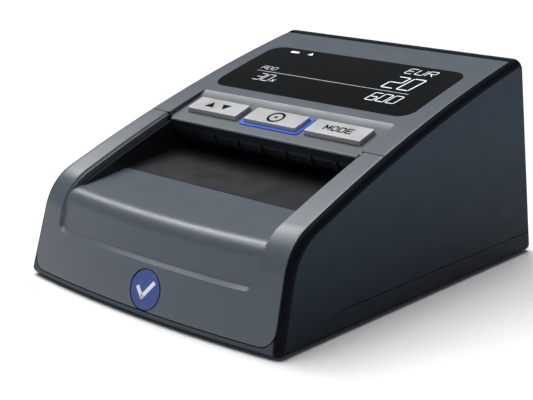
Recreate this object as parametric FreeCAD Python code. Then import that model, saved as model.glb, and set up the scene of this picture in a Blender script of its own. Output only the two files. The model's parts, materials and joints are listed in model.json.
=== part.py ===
"""Counter-top banknote detector: an assembly of separate pieces, one STEP file for each node.

Frame: origin on the counter under the middle of the machine, +Z up, front (note tray) at -Y,
+X to the right of somebody facing the rear. All sizes are in millimetres.
"""
import FreeCAD, Part
import math
import os
from FreeCAD import Placement, Rotation, Vector

# ---------------------------------------------------------------- driving dimensions
WIDTH = 126.0                       # across the base
DEPTH = 165.0                       # front lip to rear wall, at the base
SIDE_LEAN = math.radians(3.0)       # the sides close in towards the top
FRONT_LEAN = math.radians(15.0)     # the front leans back
REAR_LEAN = math.radians(7.0)       # the rear leans forward
FRONT_BOW = 4.0                     # how far the front's ends stand behind its middle
FRONT_BOW_AT = 60.0                 # half width at which the bow is measured
TOP_RADIUS = 760.0                  # long arc of the top, seen from the side
TOP_SLOPE = math.radians(17.7)      # slope of the top at y = 0
TOP_Z = 62.4                        # height of the top at y = 0
KNUCKLE_RADIUS = 21.0               # front edge, between the top arc and the front
REAR_RADIUS = 5.0                   # rear edge, between the top arc and the rear
EDGE_RADIUS = 3.4                   # rounding of the dark shell along both sides
BASE_RADIUS = 2.2                   # rounding of the casing's lower edge

FOOT_HEIGHT = 0.8                   # rubber feet below the base pan
BASE_Z = FOOT_HEIGHT                # underside of the casing
FLOOR_THICKNESS = 2.0               # bottom of the base pan
WALL = 2.4                          # dark shell
SKIN = 1.7                          # grey covers
GROOVE = 0.4                        # visible joint between covers
CLEAR = 0.3                         # ordinary clearance between separate pieces
RIM = 2.0                           # dark rim beside the grey covers
LIP_Z = 3.3                         # top of the dark lip under the front cover
COVER_REAR_Y = 67.4                 # rear end of the grey covers' opening
COVER_REAR_RADIUS = 1.0             # its corners, clear of the turning lid
SEAM_Y = -17.6                      # joint between the lid and the front cover
PAN_SEAM_Z = 8.8                    # height of the base pan's side seam
PAN_SEAM_Y = -43.0                  # where that seam starts to curve down to the front
PAN_SEAM_RADIUS = 14.0

RAIL_INNER = 48.2                   # half width of the tray between the two rails
TRAY_RECESS = 1.2                   # the tray's front stands this far behind the rails
TRAY_BEVEL = 1.1                    # bevel round that recess
TRAY_BEVEL_END_Z = 45.0             # it ends where the rails start to curve
TRAY_RECESS_Z = 20.5                # lower end of that recess
TRAY_FRONT_RADIUS = 7.0
TRAY_REAR_Y = -42.0                 # the black path plate takes over here

PATH_SLOPE = math.radians(8.0)      # the notes run uphill towards the rear
PATH_Z = 44.2                       # height of the path at y = 0
PATH_GAP = 2.0                      # between the lower and the upper path plate
PATH_HALF = 46.6                    # half width inside the cheeks
PATH_REAR_Y = 72.4
PLATE = 1.8                         # thickness of the path plates

DRIVE_YS = (5.0, 50.0)              # front and rear drive shafts
SENSOR_Y = 28.0                     # image sensor bar
TYRE_RADIUS = 7.0
TYRE_PROUD = 0.4                    # the tyres stand this far out of the lower plate
TYRE_WIDTH = 12.0
TYRE_X = 22.0
IDLER_RADIUS = 4.5
IDLER_WIDTH = 10.0
SHAFT_RADIUS = 2.0
IDLER_SHAFT_RADIUS = 1.25
RUNNING = 0.05                      # radial clearance of a running fit

GEAR_MODULE = 0.8
PINION_TEETH = 12
WHEEL_TEETH = 40
GEAR_X = (50.2, 54.2)
MOTOR_ANGLE = math.radians(-35.2)   # from the front drive shaft to the motor
MOTOR_RADIUS = 12.0

WINDOW_HALF = 49.0
WINDOW_Y = (7.6, 48.4)
WINDOW_CORNER = 6.5

KEY_SIZE = (26.0, 9.5)
KEY_PITCH = 30.1
KEY_Y = -7.9
KEY_PROUD = 0.3
KEY_RECESS = 1.6
RECESS_RAMP_Y = (-0.9, 2.4)         # foot and head of the ramp behind the keys
RECESS_CORNER = 6.0
RECESS_FRONT_Y = -30.0              # the cutting tools start here, before the nose

HINGE_Y = 64.5
BARREL_RADIUS = 2.4
BARREL_SUNK = 0.1                   # the barrel lies this far below the top surface
HINGE_PIN_RADIUS = 1.0

BATTERY_BAY = (-42.0, 22.0, -60.0, -20.0)      # x0, x1, y0, y1 of the hatch

FAR = 130.0                         # larger than the machine, for cutting tools

# ---------------------------------------------------------------- smaller dimensions
LEDGE_DEPTH = 3.8                   # the covers lie on a ledge this deep inside the shell
BARREL_HALF = 55.2                  # half length of the hinge barrel
REAR_SLOT_HALF = 41.0               # half width of the note exit
REAR_SLOT_Z = (-2.5, 4.5)           # its lower and upper edge, from the path's height there
REAR_SLOT_Y = 78.0
JACK = (-38.0, 15.0)                # x and height of the power inlet
JACK_BORE = 2.75
JACK_PIN = 1.05
USB = (-21.0, 12.0)                 # service port
CARD = (-3.0, 11.6)                 # memory card slot
SCREW_POSTS = [(54.0, -38.0), (-54.0, -38.0), (54.0, 60.0), (-54.0, 60.0)]
POST_TOP = 22.0
FEET = [(44.0, -64.0), (-44.0, -64.0), (46.0, 66.0), (-46.0, 66.0)]
FOOT_RADIUS = 5.0
RATING_PLATE = (30.0, 52.0, -12.0, 30.0)       # x0, x1, y0, y1
BADGE_RADIUS = 7.0
BADGE_X = 3.5
BADGE_Z = 10.6
BADGE_DEPTH = 0.8

SLOT_CLEAR = 1.0                    # round the tyres and rollers in the path plates
FRAME_DROP = 17.0                   # the side frames reach this far below the path
FRAME_X = (PATH_HALF - 1.6, PATH_HALF + 1.4)
BUSH_RADIUS = 3.5
HEAD_Y = -8.0                       # magnetic head
PULLEY_RADIUS = 6.0
PULLEY_X = (-55.0, -50.2)
BELT_THICKNESS = 1.2
BELT_GAP = 0.06
SHAFT_X = (-55.4, 55.0)
CLIP_XS = (-43.0, 42.5)             # retaining grooves of the drive shafts
DISC_X = (51.5, 52.3)               # encoder disc
DISC_RADIUS = 10.0
DISC_SLOTS = 18
MOTOR_X = (12.0, 42.0)
MOTOR_SHAFT_RADIUS = 1.0

BOARD = (-50.0, 26.0, 16.0, 74.0)   # x0, x1, y0, y1 of the main board
BOARD_Z = 8.0
BOARD_TOP = BOARD_Z + 1.6
BOARD_HOLES = [(-46.0, 20.0), (20.0, 20.0), (-46.0, 64.0), (20.0, 64.0)]
BUZZER = (-30.0, 54.0)

NOSE_Y = -17.6                      # front of the recess floor; the nose's lip stands before it
NOSE_LIP = 0.8
NOSE_DEPTH = 4.0
NOSE_THICKNESS = 1.5
NOSE_UNDERCUT = 1.4
NOSE_HALF = PATH_HALF - CLEAR
LID_POSTS = [(38.0, 6.0), (-38.0, 6.0), (38.0, 52.5), (-38.0, 52.5)]
LID_POST_RADIUS = 2.8
MAGNET = (52.0, -12.4)
MAGNET_RADIUS = 2.2
MAGNET_Z = (50.3, 53.3)
RING_WIDTH = 1.6                    # blue light guide round the middle key
KEY_BOTTOM = -5.4                   # heights of the key parts from the top surface
FLANGE_TOP = -4.7
SWITCH_TOP = -7.3
KEY_BOARD_TOP = -10.1
ROCKER_STEM = 8.0
ROCKER_AXLE = (-4.6, 0.8)           # height and radius

UPPER_HALF = 46.0                   # upper path plate
UPPER_FRONT_Y = -9.0
UPPER_REAR_Y = 57.0
HOOD_Y = -16.2
HOOD_THICKNESS = 1.5
RIB_PITCH = 12.0
RIB_PROUD = 0.8


# ---------------------------------------------------------------- small helpers
def box(x0, x1, y0, y1, z0, z1):
    return Part.makeBox(x1 - x0, y1 - y0, z1 - z0, Vector(x0, y0, z0))


def cyl_x(y, z, radius, x0, x1):
    return Part.makeCylinder(radius, x1 - x0, Vector(x0, y, z), Vector(1, 0, 0))


def cyl_y(x, z, radius, y0, y1):
    return Part.makeCylinder(radius, y1 - y0, Vector(x, y0, z), Vector(0, 1, 0))


def cyl_z(x, y, radius, z0, z1):
    return Part.makeCylinder(radius, z1 - z0, Vector(x, y, z0))


def ring_x(y, z, outer, inner, x0, x1):
    return cyl_x(y, z, outer, x0, x1).cut(cyl_x(y, z, inner, x0 - 1, x1 + 1))


def union(shapes):
    shapes = list(shapes)
    whole = shapes[0]
    if len(shapes) > 1:
        whole = whole.multiFuse(shapes[1:])
    return whole.removeSplitter()


def joined(first, others):
    """Fuses pieces one after another, which is safer on long curved skins."""
    whole = first
    for other in others:
        whole = whole.fuse(other)
    return whole


def group(shapes):
    """Separate equal pieces that share one node."""
    return Part.makeCompound(list(shapes))


def rounded_prism(x0, x1, y0, y1, radius, z0, z1):
    prism = box(x0, x1, y0, y1, z0, z1)
    upright = [e for e in prism.Edges if abs(e.BoundBox.ZLength - (z1 - z0)) < 1e-6]
    return prism.makeFillet(radius, upright)


def mirrored(shape):
    return shape.mirror(Vector(0, 0, 0), Vector(1, 0, 0))


def both_sides(shape):
    return [shape, mirrored(shape)]


def side_prism(points, x0, x1):
    """Extrudes an outline given as (y, z) points from x0 to x1."""
    corners = [Vector(x0, y, z) for y, z in points]
    face = Part.Face(Part.makePolygon(corners + corners[:1]))
    return face.extrude(Vector(x1 - x0, 0, 0))


# ---------------------------------------------------------------- the outer form
TOP_CENTRE_Y = TOP_RADIUS * math.sin(TOP_SLOPE)
TOP_CENTRE_Z = TOP_Z - TOP_RADIUS * math.cos(TOP_SLOPE)


def top_z(y):
    return TOP_CENTRE_Z + math.sqrt(TOP_RADIUS ** 2 - (y - TOP_CENTRE_Y) ** 2)


def top_slope(y):
    return math.asin((TOP_CENTRE_Y - y) / TOP_RADIUS)


def path_z(y):
    return PATH_Z + y * math.tan(PATH_SLOPE)


def front_y(x, z):
    return FRONT_BOW * (x / FRONT_BOW_AT) ** 2 - DEPTH / 2 + z * math.tan(FRONT_LEAN)


def rear_y(z):
    return DEPTH / 2 - z * math.tan(REAR_LEAN)


def half_width(z):
    return WIDTH / 2 - z * math.tan(SIDE_LEAN)


def on_panel(shape, y, depth=0.0):
    """Places a shape made about the origin on the top surface at y, sunk by depth."""
    turn = Rotation(Vector(1, 0, 0), math.degrees(top_slope(y)))
    normal = turn.multVec(Vector(0, 0, 1))
    placed = shape.copy()
    placed.Placement = Placement(Vector(0, y, top_z(y)) - normal * depth, turn)
    return placed


def on_path(shape, y, height=0.0):
    """Places a shape made about the origin on the note path at y, raised by height."""
    turn = Rotation(Vector(1, 0, 0), math.degrees(PATH_SLOPE))
    normal = turn.multVec(Vector(0, 0, 1))
    placed = shape.copy()
    placed.Placement = Placement(Vector(0, y, path_z(y)) + normal * height, turn)
    return placed


def blend_to_arc(start, along, inward, centre, arc_radius, radius):
    """Rounds the corner between a straight line and the top arc: start, middle and end."""
    offset = start + inward * radius
    away = offset - centre
    b = away.dot(along)
    c = away.dot(away) - (arc_radius - radius) ** 2
    middle = offset + along * (-b + math.sqrt(b * b - c))
    on_line = middle - inward * radius
    outward = (middle - centre).normalize()
    on_arc = centre + outward * arc_radius
    halfway = ((on_line - middle) + (on_arc - middle)).normalize()
    return on_line, middle + halfway * radius, on_arc


def outer_section(x, inset, floor):
    """The side outline at one x, moved inwards by inset, closed at the height of floor."""
    front_up = Vector(0, math.sin(FRONT_LEAN), math.cos(FRONT_LEAN))
    front_in = Vector(0, math.cos(FRONT_LEAN), -math.sin(FRONT_LEAN))
    rear_up = Vector(0, -math.sin(REAR_LEAN), math.cos(REAR_LEAN))
    rear_in = Vector(0, -math.cos(REAR_LEAN), -math.sin(REAR_LEAN))
    front = Vector(x, front_y(x, 0), 0) + front_in * inset
    rear = Vector(x, rear_y(0), 0) + rear_in * inset
    centre = Vector(x, TOP_CENTRE_Y, TOP_CENTRE_Z)
    arc = TOP_RADIUS - inset
    knuckle = blend_to_arc(front, front_up, front_in, centre, arc, KNUCKLE_RADIUS - inset)
    back = blend_to_arc(rear, rear_up, rear_in, centre, arc, max(REAR_RADIUS - inset, 1.0))
    crown = centre + ((knuckle[2] + back[2]) * 0.5 - centre).normalize() * arc
    front_foot = front + front_up * ((floor - front.z) / front_up.z)
    rear_foot = rear + rear_up * ((floor - rear.z) / rear_up.z)
    edges = [
        Part.LineSegment(front_foot, knuckle[0]),
        Part.Arc(*knuckle),
        Part.Arc(knuckle[2], crown, back[2]),
        Part.Arc(back[2], back[1], back[0]),
        Part.LineSegment(back[0], rear_foot),
        Part.LineSegment(rear_foot, front_foot),
    ]
    return Part.Wire([e.toShape() for e in edges])


def leaning_prism(inset, z0, z1):
    """The space between the two leaning sides, from z0 up to z1."""
    low = half_width(z0) - inset
    high = half_width(z1) - inset
    points = [(-low, z0), (low, z0), (high, z1), (-high, z1)]
    corners = [Vector(x, -FAR, z) for x, z in points]
    return Part.Face(Part.makePolygon(corners + corners[:1])).extrude(Vector(0, 2 * FAR, 0))


def envelope(inset, floor=BASE_Z):
    """The whole outer form as a solid, moved inwards by inset."""
    stations = [i * WIDTH / 4 * 1.05 for i in (-2, -1, 0, 1, 2)]
    body = Part.makeLoft([outer_section(x, inset, floor) for x in stations], True, False)
    side_inset = inset / math.cos(SIDE_LEAN)
    body = body.common(leaning_prism(side_inset, floor - 5, 100)).Solids[0]
    radius = EDGE_RADIUS - inset
    if radius < 0.5:
        return body

    def on_side(edge):
        middle = edge.valueAt((edge.FirstParameter + edge.LastParameter) / 2)
        beside = abs(abs(middle.x) - (half_width(middle.z) - side_inset)) < 0.01
        return beside and edge.BoundBox.ZMax > floor + 0.01

    body = body.makeFillet(radius, [e for e in body.Edges if on_side(e)])
    if inset > 0:
        return body
    return body.makeFillet(BASE_RADIUS, [e for e in body.Edges if e.BoundBox.ZMax < floor + 0.01])


OUTER = envelope(0.0)
CAVITY = envelope(WALL, -5.0)


def layer(outer, inner):
    """A skin of the machine between two depths below its outer surface."""
    outside = OUTER if outer == 0 else envelope(outer, -5.0)
    return outside.cut(envelope(inner, -5.0))


# ---------------------------------------------------------------- casing regions
def cover_space(gap):
    """The opening that the front cover and the lid fill, made smaller by gap."""
    low = LIP_Z + gap
    space = leaning_prism(RIM + gap, low, 100)
    space = space.common(box(-FAR, FAR, -FAR, COVER_REAR_Y - gap, low, 100))
    lower = [e for e in space.Edges
             if e.BoundBox.YLength > 100 and e.BoundBox.ZMax < low + 1]
    space = space.makeFillet(6.0 - gap, lower)
    rear = [e for e in space.Edges
            if e.BoundBox.YMin > COVER_REAR_Y - gap - 0.01 and e.BoundBox.ZLength > 50]
    return space.makeFillet(COVER_REAR_RADIUS, rear)


def seam_side(front, gap=0.0):
    """Half space in front of (or behind) the joint across the rails, square to the top."""
    block = box(-FAR, FAR, -FAR, -gap, -FAR, FAR) if front else box(-FAR, FAR, gap, FAR, -FAR, FAR)
    return on_panel(block, SEAM_Y)


def pan_space(gap):
    """Everything below the base pan's side seam, with the seam moved down by gap."""
    top = PAN_SEAM_Z - gap
    radius = PAN_SEAM_RADIUS - gap
    centre_z = PAN_SEAM_Z - PAN_SEAM_RADIUS
    disc = cyl_x(PAN_SEAM_Y, centre_z, radius, -FAR, FAR)
    return disc.fuse(box(-FAR, FAR, PAN_SEAM_Y, FAR, -FAR, top)).removeSplitter()


# ---------------------------------------------------------------- dark casing
def hinge_z():
    return top_z(HINGE_Y) - (BARREL_RADIUS + BARREL_SUNK) / math.cos(top_slope(HINGE_Y))


def rear_wall_box(x, z, width, height):
    return box(x - width / 2, x + width / 2, 66, 90, z - height / 2, z + height / 2)


def make_main_shell():
    shell = OUTER.cut(CAVITY).cut(cover_space(0.0)).cut(pan_space(-CLEAR))
    ledge = layer(WALL - 0.4, LEDGE_DEPTH)
    ledge = ledge.common(leaning_prism(0.8, 0, 100)).cut(cover_space(2.6))
    over_floor = BASE_Z + FLOOR_THICKNESS + CLEAR
    ledge = ledge.common(box(-FAR, FAR, -FAR, 58, over_floor, 100)).cut(pan_space(-CLEAR))
    hollow_post = [cyl_z(x, y, 3.4, 3.2, POST_TOP) for x, y in SCREW_POSTS]
    ribs = []
    for x, y in SCREW_POSTS:
        side = math.copysign(1, x)
        ends = sorted((x, side * 60.8))
        ribs.append(box(ends[0], ends[1], y - 1.2, y + 1.2, PAN_SEAM_Z + CLEAR, POST_TOP))
    shell = shell.multiFuse(ledge.Solids + hollow_post + ribs)
    for x, y in SCREW_POSTS:
        shell = shell.cut(cyl_z(x, y, 1.2, 0, POST_TOP - 3))
    low, high = (path_z(REAR_SLOT_Y) + z for z in REAR_SLOT_Z)
    shell = shell.cut(rounded_slot(REAR_SLOT_HALF, low, high))
    shell = shell.cut(cyl_y(*JACK, 4.3, 66, 96))
    shell = shell.cut(rear_wall_box(*USB, 9.0, 5.0))
    shell = shell.cut(rear_wall_box(*CARD, 15.4, 4.2))
    for pin in both_sides(cyl_x(HINGE_Y, hinge_z(), HINGE_PIN_RADIUS, 50, 58.2)):
        shell = shell.cut(pin)
    return shell.removeSplitter()


def rounded_slot(half, z0, z1):
    """A slot through the rear wall with rounded ends."""
    radius = (z1 - z0) / 2
    middle = (z0 + z1) / 2
    flat = box(radius - half, half - radius, 60, 95, z0, z1)
    return flat.multiFuse([cyl_y(x, middle, radius, 60, 95) for x in (radius - half, half - radius)])


def make_base_pan():
    skirt = OUTER.cut(envelope(WALL, BASE_Z + FLOOR_THICKNESS)).common(pan_space(0.0))
    plate = envelope(WALL + CLEAR, BASE_Z).common(
        box(-FAR, FAR, -FAR, FAR, BASE_Z, BASE_Z + FLOOR_THICKNESS))
    pan = skirt.fuse(plate)
    x0, x1, y0, y1 = BATTERY_BAY
    pan = pan.fuse(box(x0 - 2, x1 + 2, y0 - 2, y1 + 2, BASE_Z + 1, 9.0))
    pan = pan.cut(box(x0, x1, y0, y1, -1, 20))
    posts = [cyl_z(x, y, 2.6, BASE_Z + 1, BOARD_Z) for x, y in BOARD_HOLES]
    pan = pan.multiFuse(posts)
    for x, y in BOARD_HOLES:
        pan = pan.cut(cyl_z(x, y, 1.0, BASE_Z + 1.5, BOARD_Z + 1))
    for x, y in SCREW_POSTS:
        pan = pan.cut(cyl_z(x, y, 1.6, 0, 5)).cut(cyl_z(x, y, 2.9, 0, BASE_Z + 1.0))
    for x, y in FEET:
        pan = pan.cut(cyl_z(x, y, FOOT_RADIUS + 0.2, 0, BASE_Z + 0.4))
    plate_recess = box(*RATING_PLATE, 0, BASE_Z + 0.4)
    return pan.cut(plate_recess).removeSplitter()


def make_feet():
    feet = []
    for x, y in FEET:
        foot = cyl_z(x, y, FOOT_RADIUS, 0, BASE_Z + 0.4)
        rim = [e for e in foot.Edges if e.BoundBox.ZMax < 0.01]
        feet.append(foot.makeFillet(0.3, rim))
    return group(feet)


def make_case_screws():
    screws = []
    for x, y in SCREW_POSTS:
        head = cyl_z(x, y, 2.6, BASE_Z - 0.1, BASE_Z + 1.0)
        cross = [box(x - 1.4, x + 1.4, y - 0.3, y + 0.3, 0, BASE_Z + 0.6),
                 box(x - 0.3, x + 0.3, y - 1.4, y + 1.4, 0, BASE_Z + 0.6)]
        screw = head.fuse(cyl_z(x, y, 1.2, BASE_Z + 0.9, POST_TOP - 5)).cut(cross[0]).cut(cross[1])
        screws.append(screw)
    return group(screws)


def make_rating_plate():
    x0, x1, y0, y1 = RATING_PLATE
    return rounded_prism(x0 + 0.2, x1 - 0.2, y0 + 0.2, y1 - 0.2, 1.5, BASE_Z + 0.05, BASE_Z + 0.4)


def make_battery_door():
    x0, x1, y0, y1 = BATTERY_BAY
    door = rounded_prism(x0 + CLEAR, x1 - CLEAR, y0 + CLEAR, y1 - CLEAR, 1.5,
                         BASE_Z, BASE_Z + FLOOR_THICKNESS)
    middle = (x0 + x1) / 2
    for i in range(3):
        y = y1 - 6.0 - i * 2.4
        door = door.cut(box(middle - 8, middle + 8, y, y + 1.0, 0, BASE_Z + 0.5))
    return door


def make_battery_pack():
    x0, x1, y0, y1 = BATTERY_BAY
    return rounded_prism(x0 + 1.2, x1 - 1.2, y0 + 1.2, y1 - 3.0, 3.0,
                         BASE_Z + FLOOR_THICKNESS + 0.4, 19.0)


def make_battery_contacts():
    x0, x1, _, y1 = BATTERY_BAY
    middle = (x0 + x1) / 2
    leaves = []
    for i in (-1, 0, 1):
        x = middle + i * 8.0
        leaf = side_prism([(y1 - 0.9, 4.0), (y1 - 0.1, 4.0), (y1 - 0.1, 8.6), (y1 - 2.6, 6.6)],
                          x - 1.5, x + 1.5)
        leaves.append(leaf)
    return group(leaves)


# ---------------------------------------------------------------- front cover with tray
def below_path(drop):
    """Everything under the note path, lowered by drop, as a big block."""
    return on_path(box(-FAR, FAR, -FAR, FAR, -FAR, 0), 0, -drop)


def tray_section(x, inset, drop, radius):
    """Side outline of the tray's solid form at one x: front, rounded edge, floor, rear end."""
    up = Vector(0, math.sin(FRONT_LEAN), math.cos(FRONT_LEAN))
    inward = Vector(0, math.cos(FRONT_LEAN), -math.sin(FRONT_LEAN))
    along = Vector(0, math.cos(PATH_SLOPE), math.sin(PATH_SLOPE))
    down = Vector(0, math.sin(PATH_SLOPE), -math.cos(PATH_SLOPE))
    front = Vector(x, front_y(x, 0), 0) + inward * inset
    floor = Vector(x, 0, PATH_Z) + down * drop
    # the rounded edge's centre is radius away from both lines
    to_floor = (floor - front).dot(down) * -1
    rise = (to_floor - radius - radius * inward.dot(down) * -1) / (up.dot(down) * -1)
    centre = front + inward * radius + up * rise
    middle = centre - (inward + down).normalize() * radius
    low = front + up * ((LIP_Z - front.z) / up.z)
    rear = floor + along * ((TRAY_REAR_Y - floor.y) / along.y)
    start, end = centre - inward * radius, centre - down * radius
    edges = [
        Part.LineSegment(low, start),
        Part.Arc(start, middle, end),
        Part.LineSegment(end, rear),
        Part.LineSegment(rear, Vector(x, TRAY_REAR_Y, LIP_Z)),
        Part.LineSegment(Vector(x, TRAY_REAR_Y, LIP_Z), low),
    ]
    return Part.Wire([e.toShape() for e in edges])


def tray_form(inset, drop, radius):
    """Solid form of the tray's front and floor, with a rounded front edge."""
    stations = (-56.0, -28.0, 0.0, 28.0, 56.0)
    return Part.makeLoft([tray_section(x, inset, drop, radius) for x in stations], True, False)


def tray_window(inset, low):
    """The space over the tray between the rails, down to the lower end of its recess."""
    half = RAIL_INNER - inset
    space = box(-half, half, -FAR, FAR, low, FAR)
    lower = [e for e in space.Edges if e.BoundBox.YLength > 100 and e.BoundBox.ZMax < low + 0.1]
    return space.makeFillet(3.0, lower)


def bevelled_window(skin):
    """Bevels the skin's outer edge along the lower end and the sides of the tray's recess."""
    def on_border(edge):
        middle = edge.valueAt((edge.FirstParameter + edge.LastParameter) / 2)
        outside = abs(middle.y - front_y(middle.x, middle.z)) < 0.05
        along_recess = edge.BoundBox.ZMin > TRAY_RECESS_Z - 0.01 and middle.z < TRAY_BEVEL_END_Z
        return outside and along_recess and abs(middle.x) < RAIL_INNER + 0.01

    return skin.makeChamfer(TRAY_BEVEL, [e for e in skin.Edges if on_border(e)])


def make_front_cover():
    skin = layer(0.0, SKIN).common(cover_space(GROOVE)).common(seam_side(True, GROOVE / 2))
    skin = bevelled_window(skin.cut(tray_window(0.0, TRAY_RECESS_Z)))
    tray = tray_form(TRAY_RECESS, 0.0, TRAY_FRONT_RADIUS)
    tray = tray.cut(tray_form(TRAY_RECESS + SKIN, SKIN, TRAY_FRONT_RADIUS - SKIN))
    half = RAIL_INNER + 1.5
    tray = tray.common(box(-half, half, -FAR, FAR, TRAY_RECESS_Z - 1.5, FAR))
    walls = []
    for side in both_sides(box(RAIL_INNER, half, -FAR, SEAM_Y - 1, 0, FAR)):
        wall = envelope(0.8, LIP_Z).common(side).common(seam_side(True, GROOVE / 2))
        tray_part = wall.cut(below_path(SKIN)).common(box(-FAR, FAR, -FAR, TRAY_REAR_Y + 2, 0, FAR))
        flange = wall.cut(envelope(3.2, LIP_Z))
        flange = flange.common(box(-FAR, FAR, TRAY_REAR_Y, FAR, 30, FAR))
        walls.extend(tray_part.Solids + flange.Solids)
    cover = skin.multiFuse(tray.Solids + walls)
    return cover.cut(badge_disc(BADGE_RADIUS + 0.5, -BADGE_DEPTH, 0.6)).removeSplitter()


def badge_disc(radius, back, front):
    """A disc square to the leaning front; back and front are distances along its normal."""
    normal = Vector(0, -math.cos(FRONT_LEAN), math.sin(FRONT_LEAN))
    start = Vector(BADGE_X, front_y(0, BADGE_Z), BADGE_Z) + normal * back
    return Part.makeCylinder(radius, front - back, start, normal)


def make_badge():
    disc = badge_disc(BADGE_RADIUS, -BADGE_DEPTH, 0.0)
    return disc.makeFillet(0.25, [disc.Edges[0]])


# ---------------------------------------------------------------- lower note path
def drive_axis(index):
    y = DRIVE_YS[index]
    return y, path_z(y) + TYRE_PROUD - TYRE_RADIUS


def idler_axis(index):
    y = DRIVE_YS[index]
    return y, path_z(y) + TYRE_PROUD + CLEAR + IDLER_RADIUS


def make_path_plate():
    floor = on_path(box(-RAIL_INNER, RAIL_INNER, -150, 150, -PLATE, 0), 0)
    floor = floor.common(box(-FAR, FAR, TRAY_REAR_Y + CLEAR, PATH_REAR_Y, 0, 100))
    cheek_block = box(PATH_HALF, RAIL_INNER - 0.15, -64, PATH_REAR_Y, 20, 100)
    cheeks = []
    for block in both_sides(cheek_block):
        cheek = envelope(3.0, LIP_Z).common(block).common(seam_side(True, 0))
        cheek = cheek.cut(below_path(0)).Solids
        cheeks.extend(cheek)
    frames = []
    for block in both_sides(box(*FRAME_X, -6, 62, 0, 100)):
        frame = block.common(below_path(0)).cut(below_path(FRAME_DROP))
        frames.append(frame)
    side_walls = []
    for block in both_sides(box(PATH_HALF, FRAME_X[1], SEAM_Y, PATH_REAR_Y, 0, 100)):
        wall = block.common(below_path(-5.0)).cut(below_path(0.5))
        side_walls.append(wall)
    plate = floor.multiFuse(cheeks + frames + side_walls)
    half = TYRE_WIDTH / 2 + SLOT_CLEAR
    reach = TYRE_RADIUS + SLOT_CLEAR
    for index in (0, 1):
        y, z = drive_axis(index)
        for x in (-TYRE_X, TYRE_X):
            plate = plate.cut(box(x - half, x + half, y - reach, y + reach, z, z + 9))
        plate = plate.cut(cyl_x(y, z, BUSH_RADIUS, -60, 60))
    window = on_path(box(-42, 42, -5, 5, -PLATE - 1, 1), SENSOR_Y)
    head_slot = on_path(box(-6, 6, -3.2, 3.2, -PLATE - 1, 1), HEAD_Y)
    motor_y, motor_z = motor_axis()
    shaft_hole = cyl_x(motor_y, motor_z, 3.5, 40, 60)
    return plate.cut(window).cut(head_slot).cut(shaft_hole).removeSplitter()


def motor_axis():
    distance = GEAR_MODULE * (PINION_TEETH + WHEEL_TEETH) / 2
    y, z = drive_axis(0)
    return y + distance * math.cos(MOTOR_ANGLE), z + distance * math.sin(MOTOR_ANGLE)


def make_bushes():
    bushes = []
    for index in (0, 1):
        y, z = drive_axis(index)
        barrel = ring_x(y, z, BUSH_RADIUS, SHAFT_RADIUS + RUNNING, *FRAME_X)
        flange = ring_x(y, z, BUSH_RADIUS + 1.2, SHAFT_RADIUS + RUNNING, FRAME_X[1], FRAME_X[1] + 0.8)
        bushes.extend(both_sides(barrel.fuse(flange)))
    return group(bushes)


def make_lower_window():
    return on_path(rounded_prism(-41.9, 41.9, -4.9, 4.9, 1.0, -PLATE, -0.05), SENSOR_Y)


def make_lower_sensor_frame():
    frame = box(-43, 43, -6, 6, -PLATE - 3.5, -PLATE)
    return on_path(frame.cut(box(-41, 41, -4, 4, -PLATE - 4, -PLATE + 1)), SENSOR_Y)


def make_lower_sensor_board():
    return on_path(box(-44, 44, -7, 7, -PLATE - 5.1, -PLATE - 3.5), SENSOR_Y)


def make_magnetic_head():
    case = box(-5.8, 5.8, -3.0, 3.0, -9.0, -0.3)
    nose = Part.makeCylinder(3.0, 11.6, Vector(-5.8, 0, -3.1), Vector(1, 0, 0))
    return on_path(case.common(box(-6, 6, -3, 3, -9, -3.1)).fuse(nose), HEAD_Y)


# ---------------------------------------------------------------- drive
def involute_gear(teeth, bore, x0, x1, y, z, turn, backlash=0.12):
    """Spur gear on an X axis; turn is the angle of one tooth's middle from +Y."""
    pressure = math.radians(20)
    pitch = GEAR_MODULE * teeth / 2
    base = pitch * math.cos(pressure)
    tip = pitch + GEAR_MODULE * 0.95
    root = pitch - GEAR_MODULE * 1.2
    half_tooth = math.pi / (2 * teeth) - backlash / (2 * pitch)
    involute_at_pitch = math.tan(pressure) - pressure

    def flank(radius):
        if radius <= base:
            return half_tooth + involute_at_pitch
        angle = math.acos(base / radius)
        return half_tooth + involute_at_pitch - (math.tan(angle) - angle)

    steps = 4
    start = max(base, root)
    radii = [start + (tip - start) * i / steps for i in range(steps + 1)]
    points = []
    for tooth in range(teeth):
        middle = turn + 2 * math.pi * tooth / teeth
        left = [(root, -flank(start))] + [(r, -flank(r)) for r in radii]
        right = [(r, flank(r)) for r in reversed(radii)] + [(root, flank(start))]
        for radius, angle in left + right:
            points.append((y + radius * math.cos(middle + angle), z + radius * math.sin(middle + angle)))
    gear = side_prism(points, x0, x1)
    return gear.cut(cyl_x(y, z, bore, x0 - 1, x1 + 1))


def make_drive_shaft(index):
    y, z = drive_axis(index)
    shaft = cyl_x(y, z, SHAFT_RADIUS, *SHAFT_X)
    for x in CLIP_XS:
        shaft = shaft.cut(ring_x(y, z, SHAFT_RADIUS + 1, SHAFT_RADIUS - 0.3, x, x + 0.5))
    ends = [e for e in shaft.Edges if abs(abs(e.BoundBox.XMax) - 55) < 0.5 and e.BoundBox.XLength < 0.01]
    return shaft.makeChamfer(0.3, ends)


def make_tyres(index):
    y, z = drive_axis(index)
    tyres = []
    for x in (-TYRE_X, TYRE_X):
        x0 = x - TYRE_WIDTH / 2
        tyre = ring_x(y, z, TYRE_RADIUS, TYRE_RADIUS - 2.0, x0, x0 + TYRE_WIDTH)
        for i in range(1, 4):
            middle = x0 + TYRE_WIDTH * i / 4
            tyre = tyre.cut(ring_x(y, z, TYRE_RADIUS + 1, TYRE_RADIUS - 0.5, middle - 0.4, middle + 0.4))
        tyres.append(tyre)
    return group(tyres)


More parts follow.
